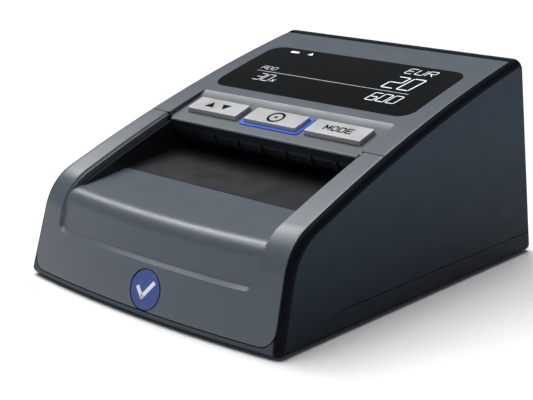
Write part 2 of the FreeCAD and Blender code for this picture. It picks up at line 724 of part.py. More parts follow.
def make_hubs(index):
    y, z = drive_axis(index)
    hubs = []
    for x in (-TYRE_X, TYRE_X):
        half = TYRE_WIDTH / 2
        hub = ring_x(y, z, TYRE_RADIUS - 2.0, SHAFT_RADIUS, x - half, x + half)
        collar = ring_x(y, z, 3.4, SHAFT_RADIUS, x + half, x + half + 2.5)
        hubs.append(hub.fuse(collar))
    return group(hubs)


def make_pulley(index):
    y, z = drive_axis(index)
    x0, x1 = PULLEY_X
    drum = ring_x(y, z, PULLEY_RADIUS, SHAFT_RADIUS, x0, x1)
    cheeks = [ring_x(y, z, PULLEY_RADIUS + 1.8, SHAFT_RADIUS, a, a + 0.8) for a in (x0, x1 - 0.8)]
    return drum.multiFuse(cheeks).removeSplitter()


def make_belt():
    """A flat belt round both pulleys, drawn tight."""
    (y0, z0), (y1, z1) = drive_axis(0), drive_axis(1)
    x0, x1 = PULLEY_X[0] + 1.1, PULLEY_X[1] - 1.1
    inner = PULLEY_RADIUS + BELT_GAP

    def loop(radius, a, b):
        angle = math.atan2(z1 - z0, y1 - y0)
        out = Vector(0, -math.sin(angle), math.cos(angle)) * radius
        along = Vector(0, math.cos(angle), math.sin(angle)) * radius
        first, second = Vector(a, y0, z0), Vector(a, y1, z1)
        edges = [
            Part.LineSegment(first + out, second + out),
            Part.Arc(second + out, second + along, second - out),
            Part.LineSegment(second - out, first - out),
            Part.Arc(first - out, first - along, first + out),
        ]
        return Part.Face(Part.Wire([e.toShape() for e in edges])).extrude(Vector(b - a, 0, 0))

    return loop(inner + BELT_THICKNESS, x0, x1).cut(loop(inner, x0 - 1, x1 + 1))


def make_drive_gear():
    y, z = drive_axis(0)
    gear = involute_gear(WHEEL_TEETH, SHAFT_RADIUS, *GEAR_X, y, z, MOTOR_ANGLE)
    hub = ring_x(y, z, 4.5, SHAFT_RADIUS, GEAR_X[0] - 0.6, GEAR_X[0])
    for i in range(5):
        angle = 2 * math.pi * i / 5
        gear = gear.cut(cyl_x(y + 9 * math.cos(angle), z + 9 * math.sin(angle), 3.0,
                              GEAR_X[0] - 1, GEAR_X[1] + 1))
    return gear.fuse(hub).removeSplitter()


def make_motor_pinion():
    y, z = motor_axis()
    facing = MOTOR_ANGLE + math.pi + math.pi / PINION_TEETH
    return involute_gear(PINION_TEETH, MOTOR_SHAFT_RADIUS, GEAR_X[0] - 0.4, GEAR_X[1] + 0.4, y, z, facing)


def make_motor_shaft():
    y, z = motor_axis()
    return cyl_x(y, z, MOTOR_SHAFT_RADIUS, MOTOR_X[1] + 2.4, GEAR_X[1] + 0.4)


def make_motor_can():
    y, z = motor_axis()
    rear_x, front_x = MOTOR_X
    can = cyl_x(y, z, MOTOR_RADIUS, rear_x, front_x)
    rear = cyl_x(y, z, 4.0, rear_x - 2.0, rear_x)
    front = cyl_x(y, z, 3.2, front_x, front_x + 2.6)
    front = front.cut(cyl_x(y, z, MOTOR_SHAFT_RADIUS + RUNNING, front_x + 1.9, front_x + 4))
    edges = [e for e in can.Edges if e.BoundBox.XLength < 0.01]
    return can.makeFillet(1.0, edges).multiFuse([rear, front]).removeSplitter()


def make_motor_bracket():
    y, z = motor_axis()
    plate = box(42.2, 43.4, y - 14, y + 14, BASE_Z + FLOOR_THICKNESS, z + 9)
    plate = plate.cut(cyl_x(y, z, 3.4, 40, 46))
    foot = box(32, 43.4, y - 14, y + 14, BASE_Z + FLOOR_THICKNESS, BASE_Z + FLOOR_THICKNESS + 1.2)
    for dy in (-10, 10):
        foot = foot.cut(cyl_z(36, y + dy, 1.3, 0, 10))
        plate = plate.cut(cyl_x(y + dy * 0.8, z, 1.1, 40, 46))
    return plate.fuse(foot).removeSplitter()


def make_motor_screws():
    y, z = motor_axis()
    screws = []
    for dy in (-8, 8):
        head = cyl_x(y + dy, z, 1.9, 43.4, 44.4)
        screws.append(head.fuse(cyl_x(y + dy, z, 1.0, 42.0, 43.5)))
    return group(screws)


def make_encoder_disc():
    y, z = drive_axis(1)
    disc = ring_x(y, z, DISC_RADIUS, SHAFT_RADIUS, *DISC_X)
    for i in range(DISC_SLOTS):
        slot = box(DISC_X[0] - 1, DISC_X[1] + 1, 6.8, 9.2, -0.5, 0.5)
        slot.rotate(Vector(0, 0, 0), Vector(1, 0, 0), 360 * i / DISC_SLOTS)
        slot.translate(Vector(0, y, z))
        disc = disc.cut(slot)
    return disc.fuse(ring_x(y, z, 3.8, SHAFT_RADIUS, DISC_X[1], DISC_X[1] + 2.2)).removeSplitter()


def make_encoder_sensor():
    y, z = drive_axis(1)
    reach = DISC_RADIUS - 4.0
    block = box(49.0, 55.2, y - 3, y + 3, z - DISC_RADIUS - 7, z - reach)
    block = block.cut(box(51.0, 52.9, y - 4, y + 4, z - DISC_RADIUS - 2, z))
    arm = box(48.1, 49.0, y - 4, y + 4, z - DISC_RADIUS - 7, z - reach - 2)
    return block.fuse(arm).removeSplitter()


# ---------------------------------------------------------------- electronics in the base
def make_main_board():
    x0, x1, y0, y1 = BOARD
    board = rounded_prism(x0, x1, y0, y1, 2.0, BOARD_Z, BOARD_TOP)
    for x, y in BOARD_HOLES:
        board = board.cut(cyl_z(x, y, 1.2, 0, 20))
    return board


def make_board_chips():
    chips = [
        box(-20, -6, 34, 48, BOARD_TOP, BOARD_TOP + 1.4),
        box(2, 12, 30, 36, BOARD_TOP, BOARD_TOP + 1.6),
        box(-36, -28, 30, 42, BOARD_TOP, BOARD_TOP + 2.2),
    ]
    cans = [cyl_z(x, y, 2.5, BOARD_TOP, BOARD_TOP + 6.0) for x, y in ((-44, 46), (-44, 53), (14, 44))]
    return group(chips + cans)


def make_board_screws():
    screws = []
    for x, y in BOARD_HOLES:
        head = cyl_z(x, y, 2.2, BOARD_TOP, BOARD_TOP + 1.2)
        screws.append(head.fuse(cyl_z(x, y, 1.0, 4.0, BOARD_TOP + 0.1)))
    return group(screws)


def make_dc_jack():
    x, z = JACK
    mouth = rear_y(z) - 0.6
    body = box(x - 4.5, x + 4.5, 64, 74, BOARD_TOP, z + 4.5)
    barrel = cyl_y(x, z, 4.1, 74, mouth)
    bore = cyl_y(x, z, JACK_BORE, 67, mouth)
    pin = cyl_y(x, z, JACK_PIN, 66, mouth - 1.5)
    return body.fuse(barrel).cut(bore).fuse(pin).removeSplitter()


def make_usb_port():
    x, z = USB
    mouth = rear_y(z) - 1.0
    case = box(x - 4.0, x + 4.0, 70, mouth, BOARD_TOP, z + 1.7)
    case = case.cut(box(x - 3.4, x + 3.4, 71, mouth + 1, BOARD_TOP + 0.6, z + 1.1))
    return case.fuse(box(x - 2.4, x + 2.4, 70.5, mouth - 1.5, z - 0.9, z - 0.3)).removeSplitter()


def make_card_slot():
    x, z = CARD
    mouth = rear_y(z) - 2.0
    case = box(x - 7.2, x + 7.2, 62, mouth, BOARD_TOP, z + 1.4)
    return case.cut(box(x - 5.8, x + 5.8, 66, mouth + 1, BOARD_TOP + 0.7, z + 0.6))


def make_buzzer():
    body = cyl_z(*BUZZER, 5.0, BOARD_TOP, BOARD_TOP + 6.5)
    return body.cut(cyl_z(*BUZZER, 1.0, BOARD_TOP + 5, BOARD_TOP + 7))


# ---------------------------------------------------------------- lid
def recess_outline(lower):
    """Side outline of the key recess, sunk by lower, open to the top and the front."""
    foot, head = RECESS_RAMP_Y
    floor_front = (RECESS_FRONT_Y, top_z(RECESS_FRONT_Y) - KEY_RECESS - lower)
    floor_rear = (foot, top_z(foot) - KEY_RECESS - lower)
    ramp_head = (head, top_z(head) - lower)
    run = ramp_head[0] - floor_rear[0]
    rise = ramp_head[1] - floor_rear[1]
    above = (ramp_head[0] + run * 4, ramp_head[1] + rise * 4)
    return [floor_front, floor_rear, above, (RECESS_FRONT_Y, above[1] + 20)]


def recess_space(lower, grow):
    half = RAIL_INNER + grow
    space = side_prism(recess_outline(lower), -half, half)
    plan = rounded_prism(-half, half, -60, RECESS_RAMP_Y[1] + 3.0, RECESS_CORNER, 0, 100)
    return space.common(plan)


def panel_window(half_x, y0, y1, radius):
    return rounded_prism(-half_x, half_x, y0, y1, radius, 40, 100)


def key_hole(index, grow):
    width, length = KEY_SIZE[0] + 2 * grow, KEY_SIZE[1] + 2 * grow
    x = (index - 1) * KEY_PITCH
    hole = rounded_prism(x - width / 2, x + width / 2, -length / 2, length / 2, 0.6 + grow * 0.5, -12, 4)
    return on_panel(hole, KEY_Y)


def recess_floor_z(y):
    """The recess floor is flat between two points under the curved top."""
    foot = RECESS_RAMP_Y[0]
    share = (y - RECESS_FRONT_Y) / (foot - RECESS_FRONT_Y)
    return top_z(RECESS_FRONT_Y) * (1 - share) + top_z(foot) * share - KEY_RECESS


def nose_outline():
    """Rounded lip in front of the recess floor, and the nose's undercut face below it."""
    top = recess_floor_z(NOSE_Y)
    points = []
    for i in range(7):
        turn = math.pi / 2 * i / 6
        points.append((NOSE_Y - NOSE_LIP * math.sin(turn), top - NOSE_LIP * (1 - math.cos(turn))))
    low = top - NOSE_DEPTH
    points.append((NOSE_Y - NOSE_LIP + NOSE_UNDERCUT, low))
    points.append((NOSE_Y + NOSE_THICKNESS, low))
    points.append((NOSE_Y + NOSE_THICKNESS, top - SKIN / 2))
    points.append((NOSE_Y, top - SKIN / 2))
    return points


def make_lid_cover():
    skin = layer(0.0, SKIN).common(cover_space(GROOVE)).common(seam_side(False, GROOVE / 2))
    skin = skin.common(box(-FAR, FAR, -FAR, HINGE_Y - 0.2, 0, FAR))
    skin = skin.cut(recess_space(0.0, -0.15))
    floor = skin_below_recess()
    nose = side_prism(nose_outline(), -NOSE_HALF, NOSE_HALF)
    barrel = cyl_x(HINGE_Y, hinge_z(), BARREL_RADIUS, -BARREL_HALF, BARREL_HALF)
    frame = layer(SKIN - 0.1, SKIN + 1.3).common(
        panel_window(WINDOW_HALF + 2, WINDOW_Y[0] - 2, WINDOW_Y[1] + 2, WINDOW_CORNER + 2))
    frame = frame.cut(panel_window(WINDOW_HALF - 2, WINDOW_Y[0] + 2, WINDOW_Y[1] - 2, WINDOW_CORNER - 2))
    posts = []
    for x, y in LID_POSTS:
        post = cyl_z(x, y, LID_POST_RADIUS, path_z(y) + PATH_GAP + PLATE + 0.5, 100)
        posts.append(post.common(envelope(SKIN - 0.5)))
    pocket = cyl_z(*MAGNET, MAGNET_RADIUS + 1.0, MAGNET_Z[0] - 0.1, 100).common(envelope(SKIN - 0.5))
    pockets = both_sides(pocket.common(seam_side(False, GROOVE / 2)))
    lugs = make_rocker_lugs()
    lid = joined(skin, [nose, barrel] + floor.Solids + frame.Solids + posts + pockets + lugs)
    lid = lid.cut(panel_window(WINDOW_HALF + 0.15, WINDOW_Y[0] - 0.15, WINDOW_Y[1] + 0.15,
                               WINDOW_CORNER).cut(envelope(SKIN)))
    for index in range(3):
        lid = lid.cut(key_hole(index, CLEAR if index != 1 else RING_WIDTH + 0.1))
    for pin in both_sides(cyl_x(HINGE_Y, hinge_z(), HINGE_PIN_RADIUS + RUNNING, 49.5, 60)):
        lid = lid.cut(pin)
    for x, y in LID_POSTS:
        lid = lid.cut(cyl_z(x, y, 1.0, 0, top_z(y) - SKIN - 1.0))
    for magnet in both_sides(cyl_z(*MAGNET, MAGNET_RADIUS + RUNNING, 40, MAGNET_Z[1])):
        lid = lid.cut(magnet)
    return lid.removeSplitter()


def skin_below_recess():
    """The recess floor, its ramp and its side walls, one skin thick."""
    outside = recess_space(SKIN, 1.3)
    inside = recess_space(0.0, -0.15)
    block = outside.cut(inside)
    block = block.common(envelope(0.0, LIP_Z)).common(box(-FAR, FAR, NOSE_Y, FAR, 0, FAR))
    wide = block.common(seam_side(False, GROOVE / 2))
    narrow = block.common(box(-NOSE_HALF, NOSE_HALF, -FAR, FAR, 0, FAR))
    return wide.fuse(narrow)


def make_display_window():
    lens = envelope(0.08, LIP_Z).cut(envelope(SKIN, LIP_Z))
    return lens.common(panel_window(WINDOW_HALF, WINDOW_Y[0], WINDOW_Y[1], WINDOW_CORNER))


def display_middle():
    return (WINDOW_Y[0] + WINDOW_Y[1]) / 2


def make_display_module():
    return on_panel(box(-44, 44, -16, 16, -6.0, -3.3), display_middle())


def make_display_board():
    board = rounded_prism(-46, 46, -19, 19, 2.0, -7.6, -6.0)
    return on_panel(board, display_middle())


def make_light_ring():
    width, length = KEY_SIZE[0] / 2 + RING_WIDTH, KEY_SIZE[1] / 2 + RING_WIDTH
    ring = rounded_prism(-width, width, -length, length, 1.4, -SKIN - KEY_RECESS - 0.5, -KEY_RECESS + 0.35)
    under_floor = -SKIN - KEY_RECESS - 0.15
    ring = ring.fuse(rounded_prism(-width - 1, width + 1, -length - 0.8, length + 0.8, 1.8,
                                   under_floor - 0.85, under_floor))
    return on_panel(ring, KEY_Y).cut(key_hole(1, CLEAR))


def key_cap(index):
    """A hollow key; the flange at its two ends stays below the recess floor."""
    width, length = KEY_SIZE
    cap = rounded_prism(-width / 2, width / 2, -length / 2, length / 2, 0.6, KEY_BOTTOM, KEY_PROUD)
    top = [e for e in cap.Edges if e.BoundBox.ZMin > KEY_PROUD - 0.01]
    cap = cap.makeFillet(0.35, top)
    hollow = box(-width / 2 + 1.2, width / 2 - 1.2, -length / 2 + 1.2, length / 2 - 1.2, -6, -1.2)
    flange = box(-width / 2 - 0.7, width / 2 + 0.7, 1.0 - length / 2, length / 2 - 1.0,
                 KEY_BOTTOM, FLANGE_TOP)
    cap = cap.fuse(flange).cut(hollow)
    cap.translate(Vector((index - 1) * KEY_PITCH, 0, 0))
    return cap


def key_stem(x, radius=1.3):
    return cyl_z(x, 0, radius, SWITCH_TOP - 0.6, -1.1)


def make_push_key(index):
    return on_panel(key_cap(index).fuse(key_stem((index - 1) * KEY_PITCH)).removeSplitter(), KEY_Y)


def make_rocker_key():
    x = -KEY_PITCH
    stems = [key_stem(x - ROCKER_STEM, 0.9), key_stem(x + ROCKER_STEM, 0.9)]
    half = KEY_SIZE[1] / 2
    web = box(x - 1.5, x + 1.5, 0.5 - half, half - 0.5, KEY_BOTTOM, -1.0)
    axle_z, axle_radius = ROCKER_AXLE
    axle = cyl_y(x, axle_z, axle_radius, -half - 1.5, half + 1.5)
    return on_panel(key_cap(0).multiFuse(stems + [web, axle]).removeSplitter(), KEY_Y)


def make_rocker_lugs():
    """Two small saddles that hold the rocker's axle under the recess floor."""
    x = -KEY_PITCH
    axle_z, axle_radius = ROCKER_AXLE
    lugs = []
    for y in (-KEY_SIZE[1] / 2 - 1.6, KEY_SIZE[1] / 2 + 0.5):
        lug = box(x - 2.2, x + 2.2, y, y + 1.1, -6.4, -KEY_RECESS - SKIN / 2)
        lugs.append(lug.cut(cyl_y(x, axle_z, axle_radius + RUNNING, y - 1, y + 2)))
    return [on_panel(lug, KEY_Y) for lug in lugs]


def make_key_board():
    board = rounded_prism(-45, 45, -5.3, 4.3, 1.5, KEY_BOARD_TOP - 1.0, KEY_BOARD_TOP)
    return on_panel(board, KEY_Y)


def make_key_switches():
    places = [(-KEY_PITCH - ROCKER_STEM, 1.3), (-KEY_PITCH + ROCKER_STEM, 1.3), (0, 1.5), (KEY_PITCH, 1.5)]
    switches = []
    for x, bore in places:
        body = box(x - 3, x + 3, -3, 3, KEY_BOARD_TOP, SWITCH_TOP)
        body = body.cut(cyl_z(x, 0, bore, SWITCH_TOP - 2.2, 0))
        switches.append(on_panel(body, KEY_Y))
    return group(switches)


# ---------------------------------------------------------------- upper note path, on the lid
def hood_profile(proud):
    """Side outline of the hood, a quarter ellipse from the throat up to the nose."""
    z_low = path_z(UPPER_FRONT_Y) + PATH_GAP
    height = recess_floor_z(NOSE_Y) - NOSE_DEPTH - 0.2 - z_low
    reach = UPPER_FRONT_Y - HOOD_Y
    steps = 10
    points = []
    for i in range(steps + 1):
        turn = math.pi / 2 * i / steps
        outward = Vector(0, -height * math.sin(turn), -reach * math.cos(turn)).normalize()
        y = UPPER_FRONT_Y - reach * math.sin(turn)
        z = z_low + height * (1 - math.cos(turn))
        points.append((y + outward.y * proud, z + outward.z * proud))
    return points


def make_upper_plate():
    plate = on_path(box(-UPPER_HALF, UPPER_HALF, -150, 150, PATH_GAP, PATH_GAP + PLATE), 0)
    plate = plate.common(box(-FAR, FAR, UPPER_FRONT_Y - 0.3, UPPER_REAR_Y, 0, 100))
    inner = list(reversed(hood_profile(-HOOD_THICKNESS)))
    hood = side_prism(hood_profile(0) + inner, -UPPER_HALF, UPPER_HALF)
    rib_outline = hood_profile(RIB_PROUD) + list(reversed(hood_profile(-0.4)))
    ribs = [side_prism(rib_outline, i * RIB_PITCH - 0.5, i * RIB_PITCH + 0.5) for i in range(-3, 4)]
    blocks = []
    for index in (0, 1):
        y, z = idler_axis(index)
        for x in (-TYRE_X - 9, -TYRE_X + 6.6, TYRE_X - 9, TYRE_X + 6.6):
            blocks.append(box(x, x + 2.4, y - 3, y + 3, path_z(y) + PATH_GAP + 1, z + 3))
    plate = plate.multiFuse([hood] + ribs + blocks)
    half = IDLER_WIDTH / 2 + SLOT_CLEAR
    reach = IDLER_RADIUS + SLOT_CLEAR + 0.6
    for index in (0, 1):
        y, z = idler_axis(index)
        for x in (-TYRE_X, TYRE_X):
            plate = plate.cut(box(x - half, x + half, y - reach, y + reach, 0, z + 8))
        plate = plate.cut(cyl_x(y, z, IDLER_SHAFT_RADIUS + RUNNING, -40, 40))
    window = on_path(box(-42, 42, -5, 5, PATH_GAP - 1, PATH_GAP + PLATE + 1), SENSOR_Y)
    plate = plate.cut(window)
    for x, y in LID_POSTS:
        plate = plate.cut(cyl_z(x, y, 1.3, 0, 100))
    return plate.removeSplitter()


def make_lid_screws():
    screws = []
    for x, y in LID_POSTS:
        z = path_z(y) + PATH_GAP
        shank = cyl_z(x, y, 1.0, z + 1.2, z + 9)
        screws.append(shank.fuse(cyl_z(x, y, 1.25, z + 0.6, z + 1.3)))
    return group(screws)


def make_upper_window():
    return on_path(rounded_prism(-41.9, 41.9, -4.9, 4.9, 1.0, PATH_GAP + 0.05, PATH_GAP + PLATE), SENSOR_Y)


def make_image_sensor():
    case = box(-43.5, 43.5, -7.0, 7.0, PATH_GAP + PLATE, PATH_GAP + PLATE + 9.0)
    case = case.cut(box(-41, 41, -4, 4, PATH_GAP, PATH_GAP + PLATE + 6.0))
    return on_path(case, SENSOR_Y)


def make_idler_shaft(index):
    y, z = idler_axis(index)
    return group([cyl_x(y, z, IDLER_SHAFT_RADIUS, x - 9.4, x + 9.4) for x in (-TYRE_X, TYRE_X)])


def make_idler_rollers(index):
    y, z = idler_axis(index)
    half = IDLER_WIDTH / 2
    return group([ring_x(y, z, IDLER_RADIUS, IDLER_SHAFT_RADIUS, x - half, x + half)
                  for x in (-TYRE_X, TYRE_X)])


def make_idler_springs():
    """A leaf over each pair of idler blocks, pressing the shafts down."""
    springs = []
    for index in (0, 1):
        y, z = idler_axis(index)
        for x in (-TYRE_X, TYRE_X):
            springs.append(box(x - 9, x + 9, y - 1.6, y + 1.6, z + 4.9, z + 5.2).fuse(
                union([box(x - 9, x - 6.6, y - 1.6, y + 1.6, z + 3.0, z + 5.2),
                       box(x + 6.6, x + 9, y - 1.6, y + 1.6, z + 3.0, z + 5.2)])))
    return group(springs)


# ---------------------------------------------------------------- lid closure and hinge
def make_magnets():
    return group(both_sides(cyl_z(*MAGNET, MAGNET_RADIUS, *MAGNET_Z)))


def make_keepers():
    x, y = MAGNET
    top = MAGNET_Z[0] - 0.5
    keeper = cyl_z(x, y, MAGNET_RADIUS + 0.4, top - 1.4, top)
    stalk = box(x - 1.5, 62.0, y - 1.6, y + 1.6, top - 3.0, top - 1.4)
    return group(both_sides(keeper.fuse(stalk).common(envelope(LEDGE_DEPTH))))


def make_hinge_pins():
    return group(both_sides(cyl_x(HINGE_Y, hinge_z(), HINGE_PIN_RADIUS, 50, 58.2)))


# ---------------------------------------------------------------- the nodes
def build_nodes():
    nodes = {
        "base_pan": make_base_pan(),
        "main_shell": make_main_shell(),
        "front_cover": make_front_cover(),
        "front_badge": make_badge(),
        "rubber_feet": make_feet(),
        "case_screws": make_case_screws(),
        "rating_plate": make_rating_plate(),
        "battery_door": make_battery_door(),
        "battery_pack": make_battery_pack(),
        "battery_contacts": make_battery_contacts(),
        "lower_path_plate": make_path_plate(),
        "lower_sensor_window": make_lower_window(),
        "lower_sensor_frame": make_lower_sensor_frame(),
        "lower_sensor_board": make_lower_sensor_board(),
        "magnetic_head": make_magnetic_head(),
        "shaft_bushes": make_bushes(),
        "drive_belt": make_belt(),
        "motor_can": make_motor_can(),
        "motor_bracket": make_motor_bracket(),
        "motor_screws": make_motor_screws(),
        "motor_shaft": make_motor_shaft(),
        "motor_pinion": make_motor_pinion(),
        "drive_gear": make_drive_gear(),
        "encoder_disc": make_encoder_disc(),
        "encoder_sensor": make_encoder_sensor(),
        "main_board": make_main_board(),
        "board_chips": make_board_chips(),
        "board_screws": make_board_screws(),
        "dc_jack": make_dc_jack(),
        "usb_port": make_usb_port(),
        "card_slot": make_card_slot(),
        "buzzer": make_buzzer(),
        "hinge_pins": make_hinge_pins(),
        "magnet_keepers": make_keepers(),
        "lid_cover": make_lid_cover(),
        "display_window": make_display_window(),
        "display_module": make_display_module(),
        "display_board": make_display_board(),
        "light_ring": make_light_ring(),
        "key_board": make_key_board(),
        "key_switches": make_key_switches(),
        "up_down_key": make_rocker_key(),
        "start_key": make_push_key(1),
        "mode_key": make_push_key(2),
        "upper_path_plate": make_upper_plate(),
        "upper_sensor_window": make_upper_window(),
        "image_sensor": make_image_sensor(),
        "idler_springs": make_idler_springs(),
        "lid_screws": make_lid_screws(),
        "lid_magnets": make_magnets(),
    }
    for index, place in enumerate(("front", "rear")):
        nodes[place + "_drive_shaft"] = make_drive_shaft(index)
        nodes[place + "_drive_hubs"] = make_hubs(index)
        nodes[place + "_drive_tyres"] = make_tyres(index)
        nodes[place + "_pulley"] = make_pulley(index)
        nodes[place + "_idlers"] = union([make_idler_shaft(index), make_idler_rollers(index)])
    return nodes


def main():
    os.makedirs("parts", exist_ok=True)
    for name, shape in build_nodes().items():
        if not shape.isValid():
            print("not valid:", name)
        print(name, "solids", len(shape.Solids), "volume", round(shape.Volume / 1000, 2), "cm3")
        shape.exportStep(os.path.join("parts", name + ".step"))


main()
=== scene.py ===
"""Looks, light and camera for the counter-top banknote detector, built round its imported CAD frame.

Everything is in metres in the part's own frame: note tray at -Y, +X to the right, +Z up.
"""
import json
import math

import bmesh
import bpy
from mathutils import Matrix, Vector


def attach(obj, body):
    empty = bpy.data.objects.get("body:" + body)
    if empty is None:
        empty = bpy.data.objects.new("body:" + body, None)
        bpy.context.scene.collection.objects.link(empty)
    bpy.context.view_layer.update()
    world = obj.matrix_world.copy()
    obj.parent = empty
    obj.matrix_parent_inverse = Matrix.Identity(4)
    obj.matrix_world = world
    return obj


MM = 0.001

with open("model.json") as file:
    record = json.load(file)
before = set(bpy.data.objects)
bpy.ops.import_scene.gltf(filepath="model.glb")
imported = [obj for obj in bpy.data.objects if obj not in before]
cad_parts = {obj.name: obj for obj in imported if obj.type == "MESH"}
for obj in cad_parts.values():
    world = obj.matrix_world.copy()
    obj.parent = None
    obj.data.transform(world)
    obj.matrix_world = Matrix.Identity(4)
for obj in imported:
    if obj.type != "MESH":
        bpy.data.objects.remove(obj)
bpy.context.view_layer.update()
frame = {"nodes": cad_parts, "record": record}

# ---------------------------------------------------------------- sizes shared with the CAD
TOP_RADIUS = 760.0 * MM
TOP_SLOPE = math.radians(17.7)
TOP_Z = 62.4 * MM
TOP_CENTRE_Y = TOP_RADIUS * math.sin(TOP_SLOPE)
TOP_CENTRE_Z = TOP_Z - TOP_RADIUS * math.cos(TOP_SLOPE)
LID_FRONT_Y = -18.4 * MM
KEY_Y = -7.9 * MM
KEY_PITCH = 30.1 * MM
KEY_PROUD = 0.3 * MM
LENS_DEPTH = 0.08 * MM
FRONT_LEAN = math.radians(15.0)
FRONT_Y = -82.5 * MM
BADGE_X = 3.5 * MM
BADGE_Z = 10.6 * MM
FILM = 0.03 * MM                    # thickness of printed marks
EDGE_WEAR_WIDTH = 0.35 * MM
FOOT_SHADE_TOP = 55.0 * MM           # painted shade darkens the sides from this height down to the floor
LENS_LIFT = 0.02 * MM               # display marks float this far over the window
DISPLAY_SLANT = 0.16                # display figures lean by this share of their height
DISPLAY_LINE_X = (-38.7, 37.6)      # ends of the dividing line, mm
DISPLAY_LINE_Y = (24.30, 24.55)     # its two long sides, mm
DISPLAY_LINE_STEPS = 24             # it follows the curved window in this many pieces
ARROW_XS = (-34.0, -26.6)           # up sign and down sign on the rocker, mm
ARROW_HALF_WIDTH = 2.3
ARROW_FOOT = -1.75
ARROW_TIP = 2.15
START_RING_RADII = (3.75, 2.7)
START_DOT_RADIUS = 0.75
START_DOT_STEPS = 20

# ---------------------------------------------------------------- colours
COVER_GREY = (0.080, 0.096, 0.118)
# painted shade for the key recess, drawn darker than the covers
RECESS_PAINTED_SHADE = (0.058, 0.070, 0.084)
# painted shade for cover faces that look down
UNDERSIDE_PAINTED_SHADE = (0.006, 0.010, 0.019)
CASING_DARK = (0.029, 0.046, 0.067)
# painted shade for the casing sides near the floor
CASING_FOOT_PAINTED_SHADE = (0.002, 0.005, 0.011)
# painted light for casing faces that look forward
CASING_FRONT_PAINTED_LIGHT = (0.062, 0.073, 0.088)
# painted shade and dark reflection for the rolled edge of the casing
ROLLED_EDGE_PAINTED_SHADE = (0.0008, 0.0014, 0.0042)
TRACK_GREEN = (0.035, 0.20, 0.075)

# ---------------------------------------------------------------- camera
CAMERA_AZIMUTH = math.radians(40.87)
CAMERA_ELEVATION = math.radians(15.45)
CAMERA_ROLL = math.radians(0.94)
CAMERA_PLACE = Vector((293.4, -347.1, 154.1)) * MM
CAMERA_LENS = 81.57
CAMERA_SENSOR = 36.0
CAMERA_SHIFT = (-0.0156, -0.0122)


def mm(*values):
    return tuple(v * MM for v in values)


def top_z(y):
    return TOP_CENTRE_Z + math.sqrt(TOP_RADIUS ** 2 - (y - TOP_CENTRE_Y) ** 2)


def top_slope(y):
    return math.asin((TOP_CENTRE_Y - y) / TOP_RADIUS)


# ---------------------------------------------------------------- placing flat marks
def on_lens(x, y, lift):
    """A point over the display window, which follows the curved top."""
    slope = top_slope(y)
    height = lift - LENS_DEPTH
    return Vector((x, y - math.sin(slope) * height, top_z(y) + math.cos(slope) * height))


def on_key(x, y, lift):
    """A point over the flat top of the keys; y runs up the panel from the keys' middle."""
    slope = top_slope(KEY_Y)
    height = lift + KEY_PROUD
    along = Vector((0, math.cos(slope), math.sin(slope)))
    normal = Vector((0, -math.sin(slope), math.cos(slope)))
    return Vector((x, KEY_Y, top_z(KEY_Y))) + along * y + normal * height


def on_badge(x, y, lift):
    """A point over the badge on the leaning front; y runs up the front from its middle."""
    up = Vector((0, math.sin(FRONT_LEAN), math.cos(FRONT_LEAN)))
    normal = Vector((0, -math.cos(FRONT_LEAN), math.sin(FRONT_LEAN)))
    middle = Vector((BADGE_X, FRONT_Y + BADGE_Z * math.tan(FRONT_LEAN), BADGE_Z))
    return middle + Vector((x, 0, 0)) + up * y + normal * lift


def prism(bm, outline, place, low, high):
    """Adds a closed thin prism over a flat outline."""
    bottom = [bm.verts.new(place(x, y, low)) for x, y in outline]
    top = [bm.verts.new(place(x, y, high)) for x, y in outline]
    bm.faces.new(list(reversed(bottom)))
    bm.faces.new(top)
    count = len(outline)
    for i in range(count):
        j = (i + 1) % count
        bm.faces.new((bottom[i], bottom[j], top[j], top[i]))


def ring(bm, centre, outer, inner, place, low, high, steps=48):
    """Adds a flat ring with upright sides."""
    loops = []
    for radius, lift in ((outer, low), (outer, high), (inner, high), (inner, low)):
        loop = []
        for i in range(steps):
            turn = 2 * math.pi * i / steps
            x = centre[0] + radius * math.cos(turn)
            y = centre[1] + radius * math.sin(turn)
            loop.append(bm.verts.new(place(x, y, lift)))
        loops.append(loop)
    for k in range(4):
        a, b = loops[k], loops[(k + 1) % 4]
        for i in range(steps):
            j = (i + 1) % steps
            bm.faces.new((a[i], a[j], b[j], b[i]))


def bar_outline(start, end, width, pointed, trim):
    """Outline of one stroke; pointed strokes look like display segments."""
    a, b = Vector(start), Vector(end)
    along = (b - a).normalized()
    across = Vector((-along.y, along.x)) * width / 2
    a = a + along * trim
    b = b - along * trim
    if not pointed:
        return [a - across, b - across, b + across, a + across]
    nib = along * width / 2
    return [a, a + nib - across, b - nib - across, b, b - nib + across, a + nib + across]


GLYPHS = {
    "0": [[(0, 0), (1, 0), (1, 1), (0, 1), (0, 0)]],
    "2": [[(0, 1), (1, 1), (1, 0.5), (0, 0.5), (0, 0), (1, 0)]],
    "3": [[(0, 1), (1, 1), (1, 0.5), (1, 0), (0, 0)], [(0, 0.5), (1, 0.5)]],
    "6": [[(1, 1), (0, 1), (0, 0.5), (0, 0), (1, 0), (1, 0.5), (0, 0.5)]],
    "A": [[(0, 0), (0, 0.5), (0, 1), (1, 1), (1, 0.5), (1, 0)], [(0, 0.5), (1, 0.5)]],
    "D": [[(0, 0), (0, 1), (0.8, 1), (1, 0.8), (1, 0.2), (0.8, 0), (0, 0)]],
    "E": [[(1, 1), (0, 1), (0, 0.5), (0, 0), (1, 0)], [(0, 0.5), (0.85, 0.5)]],
    "M": [[(0, 0), (0, 1), (0.5, 0.3), (1, 1), (1, 0)]],
    "O": [[(0.2, 0), (0.8, 0), (1, 0.25), (1, 0.75), (0.8, 1), (0.2, 1), (0, 0.75), (0, 0.25), (0.2, 0)]],
    "R": [[(0, 0), (0, 0.5), (0, 1), (1, 1), (1, 0.5), (0, 0.5)], [(0.45, 0.5), (1, 0)]],
    "U": [[(0, 1), (0, 0.5), (0, 0), (1, 0), (1, 0.5), (1, 1)]],
    "x": [[(0, 0), (1, 1)], [(0, 1), (1, 0)]],
}


